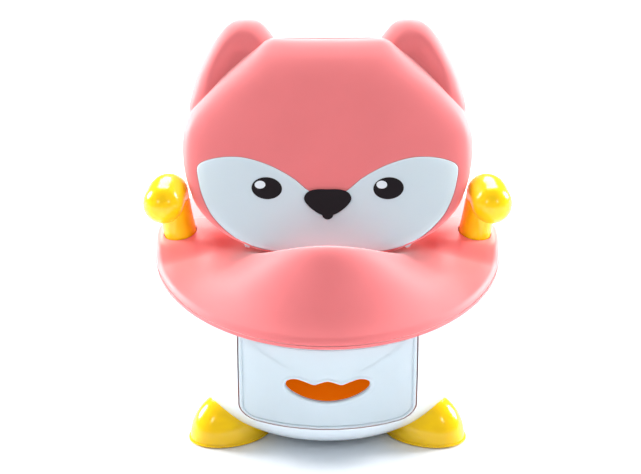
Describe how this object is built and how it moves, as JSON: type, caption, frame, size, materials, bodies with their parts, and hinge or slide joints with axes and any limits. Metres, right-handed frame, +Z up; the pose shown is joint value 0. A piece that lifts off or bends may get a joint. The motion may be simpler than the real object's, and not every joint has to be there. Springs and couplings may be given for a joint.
{
  "type": "potty training chair",
  "caption": "Child's potty chair: barrel body on domed feet, seat with splash guard and side grips, flip-up animal-head lid that turns into a back rest, and a pull-out pot drawer.",
  "frame": {"origin": "on the floor, on the vertical axis of the round body", "axes": "+Z up, the front with the drawer faces -Y, +X to the right seen from the front"},
  "size_m": [0.3642, 0.3502, 0.3915],
  "materials": {
    "white_body": "glossy white moulding",
    "white_panel": "glossy white moulding",
    "pink_seat": "satin pink moulding",
    "pink_head": "satin pink moulding",
    "white_mask": "smooth white inlay",
    "black_inlay": "gloss black inlay",
    "white_glint": "white inlay",
    "yellow_grip": "glossy yellow moulding",
    "yellow_foot": "glossy yellow moulding",
    "orange_drawer": "satin orange-yellow moulding",
    "orange_pot": "smooth orange-yellow moulding",
    "grey_guide": "plain moulding",
    "pale_rubber": "soft pale rubber",
    "dark_rubber": "anti-slip rubber",
    "steel": "plain steel"
  },
  "bodies": {
    "base": {"base_plate": "grey_guide", "body_shell": "white_body", "drawer_guide_left": "grey_guide", "drawer_guide_right": "grey_guide", "foot_front_left": "yellow_foot", "foot_front_right": "yellow_foot", "foot_pads": "dark_rubber", "foot_rear_left": "yellow_foot", "foot_rear_right": "yellow_foot", "foot_screws": "steel", "handle_left": "yellow_grip", "handle_right": "yellow_grip", "handle_screws": "steel", "hinge_pins": "steel", "lid_bumpers": "pale_rubber", "seat_screws": "steel", "seat_top": "pink_seat"},
    "lid": {"lid_shell": "pink_head", "lid_liner": "pink_seat", "lid_screws": "steel", "face_mask": "white_mask", "eye_left": "black_inlay", "eye_right": "black_inlay", "eye_glint_left": "white_glint", "eye_glint_right": "white_glint", "nose": "black_inlay"},
    "drawer": {"drawer_front": "white_panel", "drawer_tray": "orange_drawer", "drawer_screws": "steel", "potty_bowl": "orange_pot"}
  },
  "joints": [
    {"name": "lid_hinge", "type": "hinge", "parent": "base", "child": "lid", "pos_m": [0, 0.152, 0.214], "axis": [-1, 0, 0], "range_deg": [0, 100]},
    {"name": "drawer_slide", "type": "slide", "parent": "base", "child": "drawer", "axis": [0, -1, 0], "range_m": [0, 0.15]}
  ]
}
